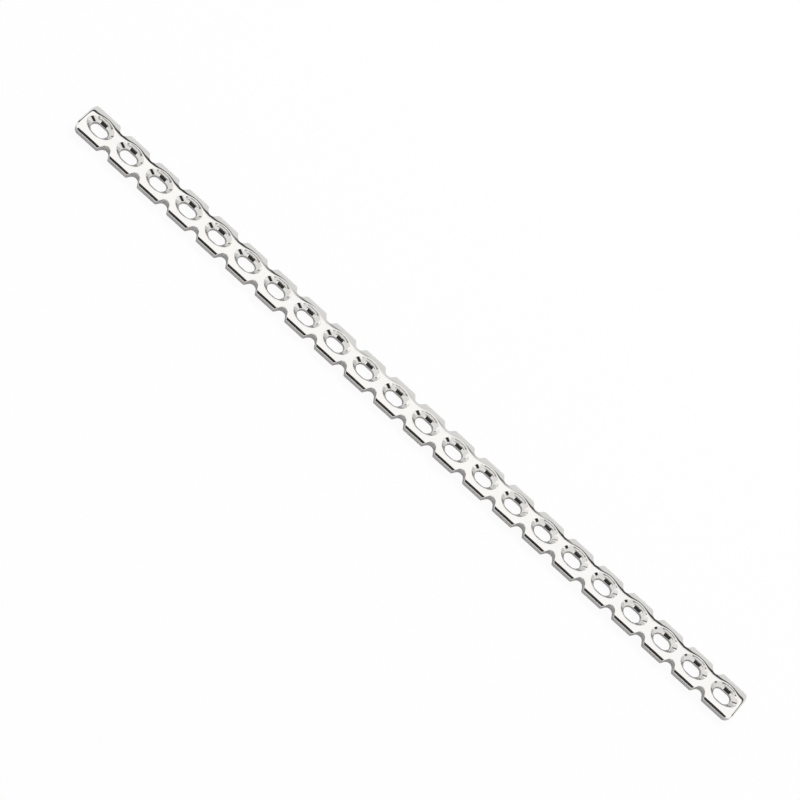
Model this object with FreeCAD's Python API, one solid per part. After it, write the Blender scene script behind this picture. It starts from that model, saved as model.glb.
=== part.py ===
import FreeCAD
import Part
import math
import os

# Straight reconstruction bone plate for 3.5 mm cortical screws, one solid. Millimetres, +Z up.

# Screw holes, from the first to the last
hole_count = 22
hole_pitch = 12.0
end_distance = 6.25          # from the last hole's centre to the plate's end

# Bar: flat underside, upright sides, bevelled shoulders and a crowned top
plate_width = 11.0
crown_height = 3.15          # thickness on the centre line
crown_radius = 70.0
side_height = 2.1            # upright part of the long sides
side_bevel = 0.7             # 45 degree bevel above it
underside_break = 0.2        # broken lower edges of the long sides

# Ends
end_corner_radius = 1.9
end_bevel_run = 0.45
end_bevel_height = 0.55

# Bending notches, in both long sides midway between the holes
waist_width = 6.44           # across the plate between two facing notches
notch_radius = 1.7           # round bottom
notch_mouth = 4.6            # opening in the side
notch_mouth_break = 0.15     # broken corners of the opening

# Top land: its edges bow out beside each hole and in beside each notch
land_width_at_hole = 8.0
land_width_at_notch = 5.9

# Compression hole: a slot under a seat made of one level and two climbing cylinders
slot_width = 3.8
slot_wall_height = 1.05
hole_travel = 2.3            # level run of the slot and of the seat
seat_radius = 3.4
ramp_angle = 55.0            # climb of the seat at each end

clear = 1.0                  # how far a cutter runs past the metal
touching = 1e-6              # nearer than this counts as lying on

plate_length = (hole_count - 1) * hole_pitch + 2 * end_distance
half_width = plate_width / 2
shoulder_height = side_height + side_bevel
shoulder_half_width = half_width - side_bevel
seat_reach = 3 * seat_radius  # the seat's cutting cylinders run out well past the metal
hole_places = [(k - (hole_count - 1) / 2) * hole_pitch for k in range(hole_count)]
notch_places = [x + hole_pitch / 2 for x in hole_places[:-1]]
up = FreeCAD.Vector(0, 0, 1)


def point(x, y, z):
    return FreeCAD.Vector(x, y, z)


def crown_z(y):
    """Height of the crowned top at a distance y from the centre line."""
    return crown_height - crown_radius + math.sqrt(crown_radius ** 2 - y ** 2)


def is_upright(edge):
    box = edge.BoundBox
    return box.XLength < touching and box.YLength < touching


def rounded_outline(length, width, corner, z):
    """Plan outline with round corners, at height z."""
    outline = Part.makePlane(length, width, point(-length / 2, -width / 2, z))
    block = outline.extrude(up)
    rounded = block.makeFillet(corner, [e for e in block.Edges if is_upright(e)])
    return next(f for f in rounded.Faces if f.BoundBox.ZMax < z + touching).OuterWire


def notch_tool():
    """Upright cutter for the bending notch at x = 0: a round bottom, then tangent sides that flare out."""
    apex = waist_width / 2
    centre_y = apex + notch_radius
    mouth_x = notch_mouth / 2
    to_mouth = math.hypot(mouth_x, half_width - centre_y)
    turn = math.atan2(half_width - centre_y, mouth_x) - math.acos(notch_radius / to_mouth)
    tangent_x = notch_radius * math.cos(turn)
    tangent_y = centre_y + notch_radius * math.sin(turn)
    outer_y = half_width + clear
    outer_x = mouth_x + clear * (mouth_x - tangent_x) / (half_width - tangent_y)
    left = point(-tangent_x, tangent_y, -clear)
    right = point(tangent_x, tangent_y, -clear)
    bottom = Part.Arc(left, point(0, apex, -clear), right).toShape()
    sides = Part.makePolygon([right, point(outer_x, outer_y, -clear), point(-outer_x, outer_y, -clear), left])
    outline = Part.Face(Part.Wire([bottom, *sides.Edges]))
    return outline.extrude(up * (crown_height + 2 * clear))


def is_mouth_corner(edge):
    """An upright edge where a notch breaks through a long side."""
    box = edge.BoundBox
    on_side = abs(abs(box.YMax) - half_width) < touching
    between_holes = any(abs(box.XMax - x) < notch_mouth for x in notch_places)
    return is_upright(edge) and on_side and between_holes


def at_each(shape, places):
    """Copies of a shape, one at each place along the plate."""
    return [shape.translated(point(x, 0, 0)) for x in places]


def scalloped_block():
    """The plate's outline in plan, with bevelled ends and notched sides."""
    bevel_start = crown_height - end_bevel_height
    foot = rounded_outline(plate_length, plate_width, end_corner_radius, 0)
    rim = rounded_outline(plate_length, plate_width, end_corner_radius, bevel_start)
    top = rounded_outline(
        plate_length - 2 * end_bevel_run, plate_width - 2 * end_bevel_run,
        end_corner_radius - end_bevel_run, crown_height)
    block = Part.Face(foot).extrude(up * bevel_start)
    block = block.fuse(Part.makeLoft([rim, top], True, True))
    notch = notch_tool()
    facing = notch.mirror(point(0, 0, 0), point(0, 1, 0))
    block = block.cut(at_each(notch, notch_places) + at_each(facing, notch_places))
    return block.makeChamfer(notch_mouth_break, [e for e in block.Edges if is_mouth_corner(e)])


def shoulder_bar():
    """Bar up to the shoulder line, with the long bevels and the broken lower edges."""
    start = -plate_length / 2 - hole_pitch
    outer = half_width + clear
    half_section = [
        (half_width - underside_break, 0), (outer, underside_break + clear),
        (outer, side_height - clear), (shoulder_half_width, shoulder_height)]
    corners = half_section + [(-y, z) for y, z in reversed(half_section)]
    section = Part.makePolygon([point(start, y, z) for y, z in corners + corners[:1]])
    return Part.Face(section).extrude(point(-2 * start, 0, 0))


def land_edge(half_land):
    """Distance from the centre line where a shoulder through this land edge reaches crown height."""
    run = shoulder_half_width - half_land
    rise = crown_z(half_land) - shoulder_height
    return shoulder_half_width - run * (crown_height - shoulder_height) / rise


def land_bay(x, bulge, ends):
    """Half a pitch of the land on its sloping shoulders: straight at the foot, bowed at the top."""
    low, high = x - hole_pitch / 4, x + hole_pitch / 4
    foot = Part.makePolygon([
        point(low, -shoulder_half_width, shoulder_height), point(high, -shoulder_half_width, shoulder_height),
        point(high, shoulder_half_width, shoulder_height), point(low, shoulder_half_width, shoulder_height),
        point(low, -shoulder_half_width, shoulder_height)])
    top = Part.Wire([
        Part.Arc(point(low, -ends, crown_height), point(x, -bulge, crown_height),
                 point(high, -ends, crown_height)).toShape(),
        Part.makeLine(point(high, -ends, crown_height), point(high, ends, crown_height)),
        Part.Arc(point(high, ends, crown_height), point(x, bulge, crown_height),
                 point(low, ends, crown_height)).toShape(),
        Part.makeLine(point(low, ends, crown_height), point(low, -ends, crown_height))])
    return Part.makeLoft([foot, top], True, True)


def crown_bar():
    """Bar with the crowned top, wider than the land."""
    start = -plate_length / 2 - hole_pitch
    y, z = half_width, crown_z(half_width)
    left, right = point(start, -y, z), point(start, y, z)
    crown = Part.Arc(left, point(start, 0, crown_height), right).toShape()
    rest = Part.makePolygon([right, point(start, y, 0), point(start, -y, 0), left])
    return Part.Face(Part.Wire([crown, *rest.Edges])).extrude(point(-2 * start, 0, 0))


def top_land():
    """Crowned land, its bays bowing out at the holes and in at the notches."""
    at_hole, at_notch = land_edge(land_width_at_hole / 2), land_edge(land_width_at_notch / 2)
    between = (at_hole + at_notch) / 2
    web_places = [hole_places[0] - hole_pitch / 2] + [x + hole_pitch / 2 for x in hole_places]
    bays = [land_bay(x, at_hole, between) for x in hole_places]
    bays += [land_bay(x, at_notch, between) for x in web_places]
    return bays[0].fuse(bays[1:]).removeSplitter().common(crown_bar())


def screw_seat():
    """Cutter for the screw head's seat: a level cylinder mitred into one that climbs at each end."""
    angle = math.radians(ramp_angle)
    axis_z = slot_wall_height + math.sqrt(seat_radius ** 2 - (slot_width / 2) ** 2)
    bend = point(hole_travel / 2, 0, axis_z)
    climb = point(math.cos(angle), 0, math.sin(angle))
    wide = 2 * seat_reach
    beyond = Part.makeBox(seat_reach, wide, wide, bend + point(0, -seat_reach, -seat_reach))
    beyond.rotate(bend, point(0, 1, 0), -ramp_angle / 2)
    middle = point(0, 0, 0)
    lengthwise = point(1, 0, 0)
    level = Part.makeCylinder(seat_radius, wide, point(-seat_reach, 0, axis_z), lengthwise)
    ramp = Part.makeCylinder(seat_radius, wide, bend - climb * seat_reach, climb).common(beyond)
    level = level.cut([beyond, beyond.mirror(middle, lengthwise)])
    return level.fuse([ramp, ramp.mirror(middle, lengthwise)])


def screw_hole():
    """Cutter for one compression hole at the origin: the slot with the seat above it."""
    half_run = hole_travel / 2
    height = crown_height + 2 * clear
    slot = Part.makeBox(hole_travel, slot_width, height, point(-half_run, -slot_width / 2, -clear))
    ends = [Part.makeCylinder(slot_width / 2, height, point(x, 0, -clear)) for x in (-half_run, half_run)]
    return slot.fuse(ends + [screw_seat()])


def bone_plate():
    top_form = shoulder_bar().fuse(top_land())
    plate = scalloped_block().common(top_form)
    return plate.cut(at_each(screw_hole(), hole_places)).removeSplitter()


os.makedirs("parts", exist_ok=True)
plate = bone_plate()
solid = plate.Solids[0]
print("solids", len(plate.Solids), "valid", solid.isValid(), "volume", round(solid.Volume, 2))
solid.exportStep("parts/bone_plate.step")
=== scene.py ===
import math
import bmesh
import bpy
from mathutils import Matrix, Vector


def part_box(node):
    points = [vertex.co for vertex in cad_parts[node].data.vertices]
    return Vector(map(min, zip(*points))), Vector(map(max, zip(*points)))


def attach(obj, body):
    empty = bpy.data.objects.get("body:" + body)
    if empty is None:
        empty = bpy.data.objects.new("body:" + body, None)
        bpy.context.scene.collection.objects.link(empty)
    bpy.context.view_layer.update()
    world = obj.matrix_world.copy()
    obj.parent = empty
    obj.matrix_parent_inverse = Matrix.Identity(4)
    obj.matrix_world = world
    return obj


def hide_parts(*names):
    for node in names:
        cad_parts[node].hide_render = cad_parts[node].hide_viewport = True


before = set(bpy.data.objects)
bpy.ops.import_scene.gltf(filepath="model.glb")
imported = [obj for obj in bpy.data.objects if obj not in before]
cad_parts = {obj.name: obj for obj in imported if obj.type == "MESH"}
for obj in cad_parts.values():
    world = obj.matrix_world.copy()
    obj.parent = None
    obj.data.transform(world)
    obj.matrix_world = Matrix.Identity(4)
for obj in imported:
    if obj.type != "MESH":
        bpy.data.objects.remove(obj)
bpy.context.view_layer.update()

scene = bpy.context.scene
mm = 0.001


def addNode(tree, kind, settings=None, links=None):
    # one node; links maps an input's name or number to a value or to another node's output
    node = tree.nodes.new(kind)
    for name, value in (settings or {}).items():
        setattr(node, name, value)
    for name, value in (links or {}).items():
        if isinstance(value, bpy.types.NodeSocket):
            tree.links.new(value, node.inputs[name])
        else:
            node.inputs[name].default_value = value
    return node


def addObject(name, data):
    made = bpy.data.objects.new(name, data)
    scene.collection.objects.link(made)
    return made


def hexColour(code):
    parts = [int(code[k:k + 2], 16) / 255 for k in (1, 3, 5)]
    linear = [c / 12.92 if c <= 0.04045 else ((c + 0.055) / 1.055) ** 2.4 for c in parts]
    return (*linear, 1)


steelLook = {
    "tints": ("#E4E4E3", "#E0DFDD"),
    "roughness": (0.045, 0.08),         # mirror bright, a little softer in the clouds
    "cloudsPerMm": 0.22,                # so a cloud is about 4.5 mm across
    "hairsPerMm": (0.35, 9.0, 9.0),     # 0.1 mm wide, because the real, finer ones wouldn't show
    "hairRoughness": 0.01,              # what a hairline adds or takes away
    "hairDepth": 0.0004,                # millimetres
    "hairRelief": 0.15,
}


def polishedSteel():
    # bright steel with the last traces of its polishing: hairlines along the plate and slight clouding
    look = steelLook
    mat = bpy.data.materials.new("polishedSurgicalSteel")
    mat.use_nodes = True
    tree = mat.node_tree
    tree.nodes.clear()
    coords = addNode(tree, "ShaderNodeTexCoord")
    perMm = addNode(tree, "ShaderNodeVectorMath", {"operation": "SCALE"},
                    {0: coords.outputs["Object"], "Scale": 1 / mm})
    clouds = addNode(tree, "ShaderNodeTexNoise", links={
        "Vector": perMm.outputs[0], "Scale": look["cloudsPerMm"], "Detail": 3.0, "Roughness": 0.55})
    stretched = addNode(tree, "ShaderNodeVectorMath", {"operation": "MULTIPLY"},
                        {0: perMm.outputs[0], 1: look["hairsPerMm"]})
    hairlines = addNode(tree, "ShaderNodeTexNoise",
                        links={"Vector": stretched.outputs[0], "Scale": 1.0, "Detail": 2.0})
    bright, soft = look["roughness"]
    sheen = addNode(tree, "ShaderNodeMapRange", links={
        "Value": clouds.outputs[0], "From Min": 0.3, "From Max": 0.7, "To Min": bright, "To Max": soft})
    lines = addNode(tree, "ShaderNodeMapRange", links={
        "Value": hairlines.outputs[0], "From Min": 0.35, "From Max": 0.65,
        "To Min": -look["hairRoughness"], "To Max": look["hairRoughness"]})
    rough = addNode(tree, "ShaderNodeMath", {"operation": "ADD"},
                    {0: sheen.outputs[0], 1: lines.outputs[0]})
    tint = addNode(tree, "ShaderNodeMix", {"data_type": "RGBA"}, {
        0: clouds.outputs[0], 6: hexColour(look["tints"][0]), 7: hexColour(look["tints"][1])})
    relief = addNode(tree, "ShaderNodeBump", links={
        "Height": hairlines.outputs[0], "Strength": look["hairRelief"], "Distance": look["hairDepth"] * mm})
    bsdf = addNode(tree, "ShaderNodeBsdfPrincipled", links={
        "Base Color": tint.outputs[2], "Metallic": 1.0, "Roughness": rough.outputs[0],
        "Normal": relief.outputs[0]})
    addNode(tree, "ShaderNodeOutputMaterial", links={"Surface": bsdf.outputs[0]})
    return mat


# The plate in millimetres and degrees; its length, width and thickness come from the frame
plateSettings = {
    "holeCount": 22,
    "holePitch": 12.0,
    "crownRadius": 70.0,        # the top's curve across the plate
    "shoulderHeight": 2.8,      # foot of the sloping shoulders
    "sideBevel": 0.7,           # 45 degree bevel down to the upright side
    "undersideBreak": 0.2,
    "landAtHole": 8.0,          # width of the top land beside a hole
    "landAtNotch": 5.9,         # and beside a notch
    "landTurn": 2.6,            # where its edge turns from bowing out to bowing in
    "creaseRoll": 0.085,        # height over which land and shoulder roll into each other
    "waist": 6.44,              # across the plate between two notches
    "notchRadius": 1.7,
    "notchMouth": 4.6,
    "mouthBreak": 0.15,
    "slotWidth": 3.8,
    "slotTravel": 2.3,
    "slotWall": 1.05,           # height of the slot's wall at its middle
    "seatRadius": 3.4,          # of the ball that cuts the seat
    "seatLevel": 0.55,          # half of its level run
    "seatSwing": 0.15,          # radius of the arc that turns the ball's path up from there
    "seatRamp": 44,             # how steeply it climbs after that
    "endCorner": 2.5,
    "endBevelRun": 0.45,
    "endBevelHeight": 0.55,
    "endFall": 1.0,             # the top bends down over this run before the end
    "endFallRate": 0.34,        # and by this much, times the run's square, at the end itself
    "endRoll": 0.5,             # how full the end bevel is rolled, 1 for a quarter round
    "edgeRound": 0.14,          # polished outer edges
    "rimShare": 0.3,            # how much of that the rims of the holes get
    "edgeSegments": 2,
    "sharpFrom": 25,            # an edge is rounded where its faces turn by more than this
    # steps in one quarter of a hole's cell
    "fanSteps": 19,             # round the end of the slot
    "straightSteps": 4,         # and on along its side to the middle
    "webSteps": 6,              # how many of the fan's face the web
    "notchSteps": 5,
    "flareSteps": 2,
    "seatSteps": 9,
    "cornerSteps": 5,           # round the plate's corner
    # rows and joints of its mesh
    "edgeRow": 0.2,             # the row next to a rim or an edge
    "creaseRow": 0.34,          # the rows next to the crease
    "seatSpan": 78,             # angle on the ball at which the seat's rows have drawn together
    "bevelShare": 0.4,          # the bevel's first row, on the way to the mouth's broken corner
    "creaseTurn": 4.55,         # x of the crease point that faces a notch's foot
    "creaseTurnAtEnd": 4.9,     # and of the one that faces the end bevel's foot
    "weld": 0.002,
    "sliver": 0.004,            # shorter edges are merged away
}


def plateForm():
    # the settings and everything that follows from them and the frame's box
    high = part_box("bone_plate")[1]
    form = dict(plateSettings)
    form["crown"] = high.z / mm
    form["halfWidth"] = high.y / mm
    form["endDistance"] = high.x / mm - (form["holeCount"] - 1) * form["holePitch"] / 2
    form["halfPitch"] = form["holePitch"] / 2
    form["footY"] = form["halfWidth"] - form["sideBevel"]
    form["halfSlot"] = form["slotWidth"] / 2
    form["halfTravel"] = form["slotTravel"] / 2
    form["ballHeight"] = form["slotWall"] + math.sqrt(form["seatRadius"] ** 2 - form["halfSlot"] ** 2)
    form["swingAxis"] = form["ballHeight"] + form["seatSwing"]
    return form


form = plateForm()


def lerp(a, b, t):
    return tuple(p + (q - p) * t for p, q in zip(a, b))


def spread(count):
    return [k / count for k in range(count + 1)]


def solve(low, high, outside):
    # halves the span until it holds nothing but the place where outside turns true
    halvings = 40
    for _ in range(halvings):
        middle = (low + high) / 2
        if outside(middle):
            high = middle
        else:
            low = middle
    return (low + high) / 2


def crownAt(y):
    return form["crown"] - form["crownRadius"] + math.sqrt(form["crownRadius"] ** 2 - y * y)


def seatAt(x, y):
    # a ball of the seat's radius rides level, turns up and climbs the ramp
    ring = form["seatSwing"] + math.sqrt(form["seatRadius"] ** 2 - y * y)
    ramp = math.radians(form["seatRamp"])
    climb = max(x - form["seatLevel"], 0)
    straight = max(climb - ring * math.sin(ramp), 0)
    turned = climb - straight
    return form["swingAxis"] - math.sqrt(ring * ring - turned * turned) + straight * math.tan(ramp)


def landTop(x):
    # where a shoulder reaches the crown's height: bowed out at the hole, in at the notch
    def reach(width):
        run = form["footY"] - width / 2
        rise = crownAt(width / 2) - form["shoulderHeight"]
        return form["footY"] - run * (form["crown"] - form["shoulderHeight"]) / rise
    atHole, atNotch = reach(form["landAtHole"]), reach(form["landAtNotch"])
    x, half, turn = min(x, form["halfPitch"]), form["halfPitch"], form["landTurn"]
    if x < turn:
        return atHole - (atHole - atNotch) * x * x / (half * turn)
    return atNotch + (atHole - atNotch) * (half - x) ** 2 / (half * (half - turn))


def shoulderAt(x, y):
    rise = form["crown"] - form["shoulderHeight"]
    return form["shoulderHeight"] + rise * (form["footY"] - y) / (form["footY"] - landTop(x))


def topAt(x, y):
    # the crown and the shoulder with a polished roll between them
    crown, shoulder, roll = crownAt(y), shoulderAt(x, y), form["creaseRoll"]
    share = max(roll - abs(crown - shoulder), 0) / roll
    return min(crown, shoulder) - share * share * roll / 4


def endTopAt(x, y):
    # the same at a plate's end, where it bends down toward the end and its round corners
    corner = form["endCorner"]
    pastX, pastY = x - form["endDistance"] + corner, y - form["halfWidth"] + corner
    inside = corner - (math.hypot(pastX, pastY) if pastX > 0 and pastY > 0 else pastX)
    return topAt(x, y) - form["endFallRate"] * max(form["endFall"] - inside, 0) ** 2


def landEdge(x):
    return solve(landTop(x), form["footY"], lambda y: shoulderAt(x, y) < crownAt(y))


def holeColumn(ray):
    # from the slot's lower edge up its wall and out over the seat to the rim
    fan, slot, ball, row = form["fanSteps"], form["halfSlot"], form["seatRadius"], form["edgeRow"]
    turn = math.radians(90) * min(ray / fan, 1)
    centreX = form["halfTravel"] * (1 - max(ray - fan, 0) / form["straightSteps"])
    justInside = 0.999                  # of the ball, whose side is upright at its full radius
    widest = ball * justInside

    def plan(reach):
        return centreX + reach * math.cos(turn), reach * math.sin(turn)

    def pastRim(reach):
        x, y = plan(reach)
        return y >= widest or seatAt(x, y) > topAt(x, y)

    farthest = form["endDistance"]
    if ray:
        farthest = min(farthest, widest / math.sin(turn))
    rim = solve(slot, farthest, pastRim)
    edge = plan(slot)
    wallTop = seatAt(*edge)
    column = [(*edge, z) for z in (0, row, wallTop - row, wallTop)]
    low, high = math.asin(slot / ball), math.radians(form["seatSpan"])
    for t in spread(form["seatSteps"])[1:]:
        bend = (math.sin(low + (high - low) * t) - math.sin(low)) / (math.sin(high) - math.sin(low))
        x, y = plan(slot + (rim - slot) * bend)
        column.append((x, y, seatAt(x, y)))
    return column


def acrossLand(rim, edge, top=topAt):
    # rows over the crowned land, close together at the rim and at the crease
    nearShare, rowShare = 0.3, 0.25     # the most that they take of a narrow land
    gap = math.dist(rim[:2], edge)
    near, row = min(form["edgeRow"], gap * nearShare), min(form["creaseRow"], gap * rowShare)
    far = gap - 2 * row
    reach = [near, (near + far) / 2, far, gap - row, gap]
    return [(x, y, top(x, y)) for x, y in (lerp(rim[:2], edge, d / gap) for d in reach)]


def acrossShoulder(crease, edge, top=topAt):
    # rows down the shoulder, close together at the crease and at its foot
    rowShare, farShare = 0.2, 0.4       # the most that they take of a narrow shoulder
    gap = math.dist(crease, edge)
    if gap < 1e-6:                      # at the end bevel, where the two start from one point
        return [(*crease, top(*crease))] * 5
    row, far = min(form["creaseRow"], gap * rowShare), min(form["edgeRow"], gap * farShare)
    reach = [0, row, 2 * row, gap - far, gap]
    return [(x, y, top(x, y)) for x, y in (lerp(crease, edge, d / gap) for d in reach)]


def downWall(x, y, top, bottom):
    row = form["edgeRow"]
    return [(x, y, z) for z in (top, top - row, (top + bottom) / 2, bottom + row, bottom)]


def notchOutline():
    # plan points from the notch's inmost point to the bevel's foot line, and its broken corner
    apexY = form["waist"] / 2
    radius = form["notchRadius"]
    centreY = apexY + radius
    mouthX = form["notchMouth"] / 2
    rise = form["halfWidth"] - centreY
    turn = math.atan2(rise, mouthX) - math.acos(radius / math.hypot(mouthX, rise))
    middle = form["halfPitch"]
    arc = []
    for t in spread(form["notchSteps"]):
        a = math.radians(-90) + (turn + math.radians(90)) * t
        arc.append((middle - radius * math.cos(a), centreY + radius * math.sin(a)))
    mouth = (middle - mouthX, form["halfWidth"])
    share = (form["footY"] - arc[-1][1]) / (mouth[1] - arc[-1][1])
    foot = lerp(arc[-1], mouth, share)
    flare = [lerp(arc[-1], foot, t) for t in spread(form["flareSteps"])[1:]]
    breakStart = lerp(foot, mouth, 1 - form["mouthBreak"] / math.dist(foot, mouth))
    breakEnd = (mouth[0] - form["mouthBreak"], mouth[1])
    return arc + flare, breakStart, breakEnd


def bevelRows():
    # the bevel's rows as shares of its width, set by the broken corner of a notch's mouth
    outline, breakStart, _ = notchOutline()
    first = lerp(outline[-1], breakStart, form["bevelShare"])
    return [0] + [(p[1] - form["footY"]) / form["sideBevel"] for p in (first, breakStart)] + [1]


def onBevel(x, y):
    return (x, y, form["shoulderHeight"] - (y - form["footY"]))


def joinColumns(faces, columns):
    # quads between neighbouring columns of points
    for a, b in zip(columns, columns[1:]):
        for k in range(len(a) - 1):
            faces.append((a[k], a[k + 1], b[k + 1], b[k]))


def rolledBevel(inner, outer, roll):
    # bulges toward the sharp corner above the outer point, so the polished end rolls over
    corner = (outer[0], outer[1], inner[2])
    pull = lerp(lerp(inner, outer, 0.5), corner, form["endRoll"] * roll)
    rows = bevelRows()
    places = [t + (even - t) * roll for t, even in zip(rows, spread(len(rows) - 1))]
    return [lerp(lerp(inner, pull, t), lerp(pull, outer, t), t) for t in places]


def webQuarter():
    # a quarter of a cell between two holes, with half a notch
    rays = form["fanSteps"] + form["straightSteps"]
    hole = [holeColumn(ray) for ray in range(rays + 1)]
    outline, breakStart, breakEnd = notchOutline()
    notchCount = len(outline) - 1
    sideCount = rays - form["webSteps"] - notchCount
    footX, turnX = outline[-1][0], form["creaseTurn"]
    waistLand = landEdge(form["halfPitch"])
    web = [(form["halfPitch"], waistLand * t) for t in spread(form["webSteps"])]
    creaseX = [form["halfPitch"] + (turnX - form["halfPitch"]) * t for t in spread(notchCount)][1:]
    creaseX += [turnX * (1 - t) for t in spread(sideCount)][1:]
    crease = [web[-1]] + [(x, landEdge(x)) for x in creaseX]
    foot = outline + [(footX * (1 - t), form["footY"]) for t in spread(sideCount)][1:]
    faces = []
    joinColumns(faces, [c + acrossLand(c[-1], e) for c, e in zip(hole, web[:-1] + crease)])
    joinColumns(faces, [acrossShoulder(c, e) for c, e in zip(crease, foot)])

    # the bevel: its left end runs down the flare and over the broken corner
    corner = [outline[-1], lerp(outline[-1], breakStart, form["bevelShare"]), breakStart, breakEnd]
    corner = [onBevel(x, y) for x, y in corner]
    bevel = [[(x * (1 - t), y, z) for x, y, z in corner] for t in spread(sideCount)]
    joinColumns(faces, bevel)

    walls = [downWall(x, y, topAt(x, y), 0) for x, y in outline]
    walls += [downWall(x, y, z, 0) for x, y, z in corner[1:3]]
    low = form["undersideBreak"]
    sides = [column[-1] for column in bevel]
    walls += [downWall(x, y, z, low) for x, y, z in sides]
    joinColumns(faces, walls)
    inner = form["halfWidth"] - low
    breaks = [[walls[notchCount + 2][-1]] * 2] + [[(x, y, low), (x, inner, 0)] for x, y, _ in sides]
    joinColumns(faces, breaks)

    # the underside; the ray at the notch's foot fans out to the broken corner as well
    slot = [c[0] for c in hole]
    turnAt = form["webSteps"] + notchCount
    slot = slot[:turnAt + 1] + [slot[turnAt]] * 3 + slot[turnAt + 1:]
    rim = [(x, y * outline[0][1] / waistLand, 0) for x, y in web]
    rim += [w[-1] for w in walls[1:notchCount + 3]] + [b[-1] for b in breaks[1:]]
    joinColumns(faces, [[b, lerp(a, b, 0.5), a] for a, b in zip(slot, rim)])
    return faces


def endQuarter():
    # a quarter of an end cell, out to the plate's bevelled end and its round corner
    rays = form["fanSteps"] + form["straightSteps"]
    hole = [holeColumn(ray) for ray in range(rays + 1)]
    turnCount = form["notchSteps"] + form["flareSteps"]
    sideCount = rays - form["webSteps"] - turnCount
    cornerSteps = form["cornerSteps"]
    endX, corner = form["endDistance"], form["endCorner"]
    centreX, centreY = endX - corner, form["halfWidth"] - corner
    bevelBase = form["crown"] - form["endBevelHeight"]
    slope = form["endBevelRun"] / form["endBevelHeight"]

    def landEndX(y):
        return endX - (crownAt(y) - bevelBase) * slope

    def endBevelAt(x, y):
        inward = endX - x if y < centreY else corner - math.hypot(x - centreX, y - centreY)
        return bevelBase + inward / slope

    waistLand = landEdge(form["halfPitch"])
    for _ in range(4):                  # the land's corner settles in a few rounds
        waistLand = landEdge(landEndX(waistLand))
    web = [(landEndX(waistLand * t), waistLand * t) for t in spread(form["webSteps"])]

    # the shoulder meets the end bevel along a line that climbs round the corner to the foot line
    start = web[-1]
    footReach = corner - (form["shoulderHeight"] - bevelBase) * slope
    footTurn = math.asin((form["footY"] - centreY) / footReach)
    footX = centreX + footReach * math.cos(footTurn)
    nearEnd = endX - 0.01
    meet = []
    for t in spread(turnCount)[1:]:
        y = start[1] + (form["footY"] - start[1]) * t
        meet.append((solve(centreX, nearEnd, lambda x: endBevelAt(x, y) < topAt(x, y)), y))
    turnX = form["creaseTurnAtEnd"]
    creaseX = [start[0] + (turnX - start[0]) * t for t in spread(turnCount)][1:]
    footSteps = [footX + (centreX - footX) * t for t in spread(cornerSteps)]
    footSteps += [centreX * (1 - t) for t in spread(sideCount - cornerSteps)][1:]
    creaseX += [turnX * x / footX for x in footSteps[1:]]
    crease = [start] + [(x, landEdge(x)) for x in creaseX]
    foot = [start] + meet + [(x, form["footY"]) for x in footSteps[1:]]
    faces = []
    joinColumns(faces, [c + acrossLand(c[-1], e, endTopAt) for c, e in zip(hole, web[:-1] + crease)])
    joinColumns(faces, [acrossShoulder(c, e, endTopAt) for c, e in zip(crease, foot)])

    # the long bevel, from the foot line to the plate's side and round the corner
    lastTurn = math.asin((form["footY"] + form["shoulderHeight"] - bevelBase - centreY) / corner)
    inside = form["halfWidth"] - form["undersideBreak"]
    breakTurn = math.asin((inside - centreY) / corner)
    turns = [lastTurn, (lastTurn + breakTurn) / 2]
    turns += [breakTurn + (math.radians(90) - breakTurn) * t for t in spread(cornerSteps - 2)]
    side = [(centreX + corner * math.cos(a), centreY + corner * math.sin(a)) for a in turns]
    side += [(x, form["halfWidth"]) for x in footSteps[cornerSteps + 1:]]
    sides = [onBevel(x, y) for x, y in side]
    bevel = [[lerp((x, form["footY"], endTopAt(x, form["footY"])), p, t) for t in bevelRows()]
             for x, p in zip(footSteps, sides)]
    joinColumns(faces, bevel)

    # the end bevel, from the land and the shoulder out to the end; its roll fades round the corner
    inner = [(x, y, endTopAt(x, y)) for x, y in web + meet]
    outer = []
    for x, y, _ in inner:
        if y < centreY:
            outer.append((endX, y, bevelBase))
        else:
            a = math.atan2(y - centreY, x - centreX) * lastTurn / footTurn
            outer.append((centreX + corner * math.cos(a), centreY + corner * math.sin(a), bevelBase))
    rolls = [1] * len(web) + [1 - t for t in spread(turnCount)[1:]]
    joinColumns(faces, [rolledBevel(a, b, roll) for a, b, roll in zip(inner, outer, rolls)])

    walls = [downWall(x, y, z, max(0, y - inside)) for x, y, z in outer + sides[1:]]
    joinColumns(faces, walls)
    breaks = [[w[-1], (w[-1][0], min(w[-1][1], inside), 0)] for w in walls]
    joinColumns(faces, breaks)
    slot = [c[0] for c in hole]
    joinColumns(faces, [[b[-1], lerp(a, b[-1], 0.5), a] for a, b in zip(slot, breaks)])
    return faces


def mirrored(faces, axis):
    # the same faces on the other side, turned round so that they still face outwards
    flip = [1, 1, 1]
    flip[axis] = -1
    return [tuple(tuple(c * f for c, f in zip(p, flip)) for p in reversed(face)) for face in faces]


def cellObject(name, faces):
    # one cell as an object that the array below repeats; points that agree to a micrometre are one
    points, polygons = [], []
    seen = {}
    for face in faces:
        corners = []
        for p in face:
            key = tuple(round(c, 3) for c in p)
            if key not in seen:
                seen[key] = len(points)
                points.append(tuple(c * mm for c in key))
            if seen[key] not in corners:
                corners.append(seen[key])
        if len(corners) > 2:
            polygons.append(corners)
    mesh = bpy.data.meshes.new(name)
    mesh.from_pydata(points, [], polygons)
    mesh.update()
    return addObject(name, mesh)


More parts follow.
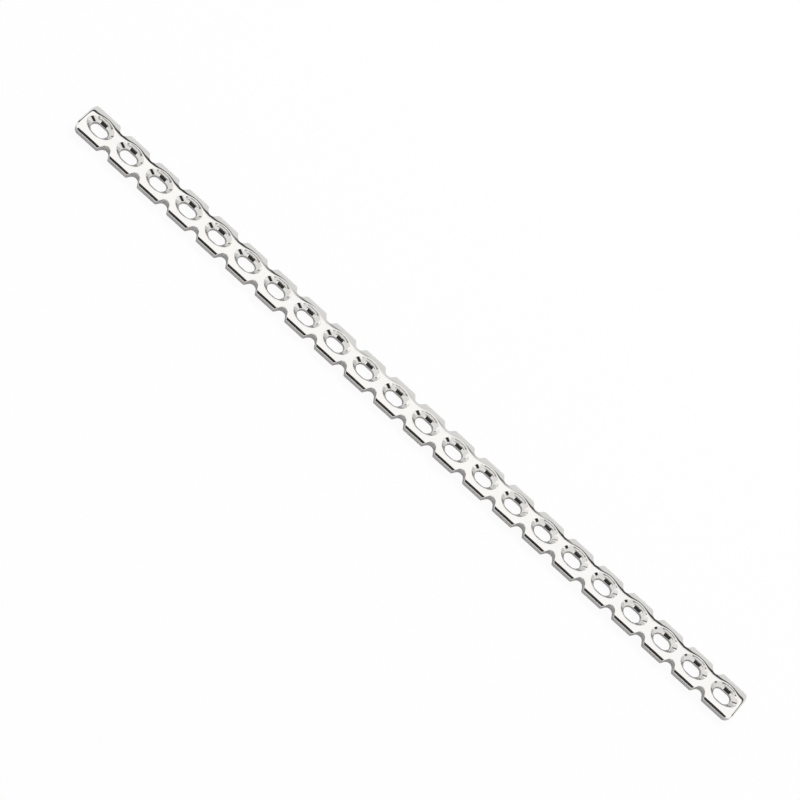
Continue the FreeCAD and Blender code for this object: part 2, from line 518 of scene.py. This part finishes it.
def plateTree():
    # cells along the plate with an end cell at each end, welded into one skin
    tree = bpy.data.node_groups.new("plateFromCells", "GeometryNodeTree")
    tree.interface.new_socket("Geometry", in_out="OUTPUT", socket_type="NodeSocketGeometry")
    for name, kind in (("Hole Cell", "NodeSocketObject"), ("End Cell", "NodeSocketObject"),
                       ("Hole Count", "NodeSocketInt"), ("Hole Pitch", "NodeSocketFloat"),
                       ("Weld Distance", "NodeSocketFloat"), ("Finish", "NodeSocketMaterial")):
        tree.interface.new_socket(name, in_out="INPUT", socket_type=kind)
    given = addNode(tree, "NodeGroupInput").outputs
    pitch = given["Hole Pitch"]
    middle = addNode(tree, "ShaderNodeMath", {"operation": "SUBTRACT"}, {0: given["Hole Count"], 1: 2.0})
    gaps = addNode(tree, "ShaderNodeMath", {"operation": "SUBTRACT"}, {0: given["Hole Count"], 1: 1.0})
    length = addNode(tree, "ShaderNodeMath", {"operation": "MULTIPLY"}, {0: gaps.outputs[0], 1: pitch})
    lastX = addNode(tree, "ShaderNodeMath", {"operation": "MULTIPLY"}, {0: length.outputs[0], 1: 0.5})
    firstX = addNode(tree, "ShaderNodeMath", {"operation": "SUBTRACT"}, {0: pitch, 1: lastX.outputs[0]})
    start = addNode(tree, "ShaderNodeCombineXYZ", links={0: firstX.outputs[0]})
    step = addNode(tree, "ShaderNodeCombineXYZ", links={0: pitch})
    line = addNode(tree, "GeometryNodeMeshLine", {"mode": "OFFSET"}, {
        "Count": middle.outputs[0], "Start Location": start.outputs[0], "Offset": step.outputs[0]})
    cell = addNode(tree, "GeometryNodeObjectInfo", links={"Object": given["Hole Cell"]})
    row = addNode(tree, "GeometryNodeInstanceOnPoints", links={
        "Points": line.outputs[0], "Instance": cell.outputs["Geometry"]})
    end = addNode(tree, "GeometryNodeObjectInfo", links={"Object": given["End Cell"]})
    farX = addNode(tree, "ShaderNodeCombineXYZ", links={0: lastX.outputs[0]})
    nearX = addNode(tree, "ShaderNodeVectorMath", {"operation": "SCALE"},
                    {0: farX.outputs[0], "Scale": -1.0})
    far = addNode(tree, "GeometryNodeTransform", links={
        "Geometry": end.outputs["Geometry"], "Translation": farX.outputs[0]})
    near = addNode(tree, "GeometryNodeTransform", links={
        "Geometry": end.outputs["Geometry"], "Translation": nearX.outputs[0], "Rotation": (0, 0, math.pi)})
    whole = addNode(tree, "GeometryNodeJoinGeometry")
    for part in (row, far, near):
        tree.links.new(part.outputs[0], whole.inputs[0])
    real = addNode(tree, "GeometryNodeRealizeInstances", links={0: whole.outputs[0]})
    welded = addNode(tree, "GeometryNodeMergeByDistance", links={
        "Geometry": real.outputs[0], "Distance": given["Weld Distance"]})
    smooth = addNode(tree, "GeometryNodeSetShadeSmooth", links={0: welded.outputs[0]})
    dressed = addNode(tree, "GeometryNodeSetMaterial", links={
        "Geometry": smooth.outputs[0], "Material": given["Finish"]})
    addNode(tree, "NodeGroupOutput", links={0: dressed.outputs[0]})
    return tree


def plainMesh(obj):
    # the evaluated object as a mesh of its own, with its modifiers gone
    graph = bpy.context.evaluated_depsgraph_get()
    mesh = bpy.data.meshes.new_from_object(obj.evaluated_get(graph))
    mesh.name = obj.name
    obj.modifiers.clear()
    obj.data = mesh


def weighEdges(mesh):
    # sharp edges are marked for rounding, the rims of the holes for less of it
    plateEnd = form["endDistance"] + (form["holeCount"] - 1) * form["holePitch"] / 2
    waistEdge = form["waist"] / 2 - 0.01        # a rim lies inside the waist
    rimEdge = form["seatRadius"] + 0.05         # or inside this,
    rimHalf = 2.5                               # that near to its hole's middle
    lastRim = plateEnd - 1.0
    cornerX = plateEnd - form["endCorner"] - 0.5
    underside = 1.0                             # edges below this height belong to it
    work = bmesh.new()
    work.from_mesh(mesh)
    weight = work.edges.layers.float.new("bevel_weight_edge")
    for edge in work.edges:
        if len(edge.link_faces) != 2 or edge.calc_face_angle() <= math.radians(form["sharpFrom"]):
            continue
        x, y = [abs(c) / mm for c in (edge.verts[0].co + edge.verts[1].co).to_2d() / 2]
        fromHole = abs(x % form["holePitch"] - form["holePitch"] / 2)
        onRim = x < lastRim and (y < waistEdge or y < rimEdge and fromHole < rimHalf)
        if x > cornerX and edge.verts[0].co.z > underside * mm:
            edge[weight] = 0                    # the end bevel is rolled already
        elif onRim or x > cornerX:
            edge[weight] = form["rimShare"]
        else:
            edge[weight] = 1
    work.to_mesh(mesh)
    work.free()


def mergeSlivers(mesh):
    work = bmesh.new()
    work.from_mesh(mesh)
    bmesh.ops.remove_doubles(work, verts=work.verts, dist=form["sliver"] * mm)
    work.to_mesh(mesh)
    work.free()


def makePlate(finish):
    web, end = webQuarter(), endQuarter()
    webHalf, endHalf = web + mirrored(web, 1), end + mirrored(end, 1)
    holeCell = cellObject("holeCell", webHalf + mirrored(webHalf, 0))
    endCell = cellObject("endCell", endHalf + mirrored(webHalf, 0))
    plate = addObject("polished_plate", bpy.data.meshes.new("polished_plate"))
    tree = plateTree()
    array = plate.modifiers.new("plateFromCells", "NODES")
    array.node_group = tree
    values = {"Hole Cell": holeCell, "End Cell": endCell, "Hole Count": form["holeCount"],
              "Hole Pitch": form["holePitch"] * mm, "Weld Distance": form["weld"] * mm, "Finish": finish}
    for item in tree.interface.items_tree:
        if item.in_out == "INPUT":
            array[item.identifier] = values[item.name]
    plainMesh(plate)
    for cell in (holeCell, endCell):
        bpy.data.objects.remove(cell)
    weighEdges(plate.data)
    edges = plate.modifiers.new("polishedEdges", "BEVEL")
    edges.limit_method = "WEIGHT"
    edges.width = form["edgeRound"] * mm
    edges.segments = form["edgeSegments"]
    edges.use_clamp_overlap = False
    plainMesh(plate)
    mergeSlivers(plate.data)
    return plate


steel = polishedSteel()
print("steel:", len(steel.node_tree.nodes), "nodes")
plate = makePlate(steel)
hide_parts("bone_plate")
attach(plate, "root")
print("plate:", len(plate.data.polygons), "faces")


cameraSettings = {
    "distance": 1000.0,                 # millimetres from the plate's middle
    "targetHeight": 1.5,
    "sideTilt": 27.7,                   # degrees off upright, toward the front
    "alongTilt": 2.574,                 # and toward the +X end
    "roll": -42.262,
    "pixelsPerMm": 3.3404,
    "platePixel": (409.35, 411.29),     # where the plate's middle lies in the photograph
    "pictureSide": 800,
    "sensorSide": 36,
    "clip": (0.01, 10),                 # metres
}


def placeCamera():
    s = cameraSettings
    alongTilt, sideTilt, turn = (math.radians(s[k]) for k in ("alongTilt", "sideTilt", "roll"))
    toCamera = Vector((math.tan(alongTilt), -math.tan(sideTilt), 1)).normalized()
    alongPlate = (Vector((1, 0, 0)) - toCamera * toCamera.x).normalized()
    acrossPlate = toCamera.cross(alongPlate)
    right = math.cos(turn) * alongPlate - math.sin(turn) * acrossPlate
    up = math.sin(turn) * alongPlate + math.cos(turn) * acrossPlate
    data = bpy.data.cameras.new("photoCamera")
    data.sensor_width = s["sensorSide"]
    data.lens = s["pixelsPerMm"] * s["distance"] * data.sensor_width / s["pictureSide"]
    data.clip_start, data.clip_end = s["clip"]
    half = s["pictureSide"] / 2
    data.shift_x = (half - s["platePixel"][0]) / s["pictureSide"]
    data.shift_y = (s["platePixel"][1] - half) / s["pictureSide"]
    cam = addObject("photoCamera", data)
    place = Vector((0, 0, s["targetHeight"])) + toCamera * s["distance"]
    cam.matrix_world = Matrix.Translation(place * mm) @ Matrix((right, up, toCamera)).transposed().to_4x4()
    scene.camera = cam
    print("camera: lens", round(data.lens, 1))


placeCamera()
scene.view_settings.view_transform = "Standard"


tableSettings = {
    "paper": "#C4C4C6",
    "cameraWhite": 0.93,                # how much of it the camera sees as plain white
    "halfSide": 3.0,                    # metres
}


def paleTable():
    # matt paper, washed out to near white for the camera, while the steel mirrors its real grey
    mat = bpy.data.materials.new("paleTable")
    mat.use_nodes = True
    tree = mat.node_tree
    tree.nodes.clear()
    paper = addNode(tree, "ShaderNodeBsdfDiffuse", links={"Color": hexColour(tableSettings["paper"])})
    white = addNode(tree, "ShaderNodeEmission", links={"Color": (1, 1, 1, 1), "Strength": 1.0})
    path = addNode(tree, "ShaderNodeLightPath")
    share = addNode(tree, "ShaderNodeMath", {"operation": "MULTIPLY"},
                    {0: path.outputs["Is Camera Ray"], 1: tableSettings["cameraWhite"]})
    mix = addNode(tree, "ShaderNodeMixShader",
                  links={0: share.outputs[0], 1: paper.outputs[0], 2: white.outputs[0]})
    addNode(tree, "ShaderNodeOutputMaterial", links={"Surface": mix.outputs[0]})
    half = tableSettings["halfSide"]
    corners = [(-half, -half, 0), (half, -half, 0), (half, half, 0), (-half, half, 0)]
    mesh = bpy.data.meshes.new("paleTable")
    mesh.from_pydata(corners, [], [(0, 1, 2, 3)])
    mesh.materials.append(mat)
    table = addObject("paleTable", mesh)
    print("table:", 2 * half, "metres wide")


paleTable()


lampSettings = {
    "size": (1.6, 0.5),                 # metres
    "place": (0.1, 1.2, 1.1),
    "energy": 34,
}


def backLamp():
    # a soft lamp high behind the plate puts the table in front of it in shade
    data = bpy.data.lights.new("backLamp", "AREA")
    data.shape = "RECTANGLE"
    data.size, data.size_y = lampSettings["size"]
    data.energy = lampSettings["energy"]
    lamp = addObject("backLamp", data)
    place = Vector(lampSettings["place"])
    lamp.location = place
    lamp.rotation_euler = (-place).to_track_quat("-Z", "Y").to_euler()
    lamp.visible_glossy = False
    lamp.visible_camera = False
    print("lamp:", data.energy, "watts")


backLamp()


# The studio as the polished steel sees it: bare walls, and lights laid over each other in this order. Each
# light has its level and the bands that it fills: from, to and half of the soft edge, with None for a side
# that stays open. Angles are in degrees: lean is toward the plate's +X end, turn goes round the plate from
# the front toward +X, around is turn without its sign, and drop runs from straight overhead down to the
# horizon. Slopes are sideways or backward reach over height. Front and back are 1 straight that way.
studio = {
    "colour": "#FFFEFC",
    "walls": 0.98,
    "gapMiddle": -2.6,                  # lean at which the dark gap is hidden
    "leastHeight": 0.02,                # keeps the slopes finite at the horizon
    "lights": {
        "backWall": {"level": 0.88, "bands": {"around": (140, None, 10)}},
        "lowFront": {"level": 1.3, "bands": {"drop": (83, None, 3), "around": (None, 140, 10)}},
        "softBox": {"level": 1.25, "bands": {
            "sideSlope": (None, 0.80, 0.03), "backSlope": (None, 0.67, 0.03)}},
        "darkGap": {"level": 0.04, "outside": "softBox", "bands": {
            "sideSlope": (None, 1.9, 0.03), "backSlope": (None, 0.90, 0.03),
            "fromGapMiddle": (2.5, None, 1.5), "back": (0.075, None, 0.075)}},
        "frontPanel": {"level": 0.04, "bands": {
            "lean": (-22, 17, 1.5), "drop": (44, 81, 1.5), "front": (0.05, None, 0.05)}},
        "rightPanel": {"level": 0.03, "bands": {"turn": (75, 100, 3), "drop": (68, 88, 3)}},
        "leftPanel": {"level": 0.12, "bands": {"turn": (-113, -101, 3), "drop": (62, 84, 3)}},
    },
}


def directionValues(tree):
    # what the bands above are measured in, each worked out from those before it
    coords = addNode(tree, "ShaderNodeTexCoord")
    axes = addNode(tree, "ShaderNodeSeparateXYZ", links={0: coords.outputs["Generated"]}).outputs
    values = {"right": axes[0], "back": axes[1], "up": axes[2]}
    for name, operation, first, second in (
            ("front", "MULTIPLY", "back", -1.0),
            ("height", "MAXIMUM", "up", studio["leastHeight"]),
            ("rightSlope", "DIVIDE", "right", "height"),
            ("sideSlope", "ABSOLUTE", "rightSlope", 0.0),
            ("backSlope", "DIVIDE", "back", "height"),
            ("turnArc", "ARCTAN2", "right", "front"),
            ("turn", "DEGREES", "turnArc", 0.0),
            ("around", "ABSOLUTE", "turn", 0.0),
            ("dropArc", "ARCCOSINE", "up", 0.0),
            ("drop", "DEGREES", "dropArc", 0.0),
            ("leanArc", "ARCSINE", "right", 0.0),
            ("lean", "DEGREES", "leanArc", 0.0),
            ("pastGapMiddle", "SUBTRACT", "lean", studio["gapMiddle"]),
            ("fromGapMiddle", "ABSOLUTE", "pastGapMiddle", 0.0)):
        values[name] = addNode(tree, "ShaderNodeMath", {"operation": operation},
                               {0: values[first], 1: values.get(second, second)}).outputs[0]
    return values


def softMask(tree, values, bands, mask):
    # the mask, cut down to what lies in all of the bands
    for name, (start, end, soft) in bands.items():
        for edge, before, after in ((start, 0.0, 1.0), (end, 1.0, 0.0)):
            if edge is None:
                continue
            fade = addNode(tree, "ShaderNodeMapRange", {"interpolation_type": "SMOOTHSTEP"}, {
                "Value": values[name], "From Min": edge - soft, "From Max": edge + soft,
                "To Min": before, "To Max": after})
            mask = addNode(tree, "ShaderNodeMath", {"operation": "MULTIPLY"},
                           {0: mask, 1: fade.outputs[0]}).outputs[0]
    return mask


def studioWorld():
    world = bpy.data.worlds.new("softStudio")
    scene.world = world
    world.use_nodes = True
    tree = world.node_tree
    tree.nodes.clear()
    values = directionValues(tree)
    level, masks = studio["walls"], {}
    for name, light in studio["lights"].items():
        mask = 1.0
        if "outside" in light:
            mask = addNode(tree, "ShaderNodeMath", {"operation": "SUBTRACT"},
                           {0: 1.0, 1: masks[light["outside"]]}).outputs[0]
        masks[name] = softMask(tree, values, light["bands"], mask)
        level = addNode(tree, "ShaderNodeMix", {"data_type": "FLOAT"},
                        {0: masks[name], 2: level, 3: light["level"]}).outputs[0]
    sky = addNode(tree, "ShaderNodeBackground",
                  links={"Color": hexColour(studio["colour"]), "Strength": level})
    addNode(tree, "ShaderNodeOutputWorld", links={"Surface": sky.outputs[0]})
    print("studio:", len(masks), "lights in", len(tree.nodes), "nodes")


studioWorld()
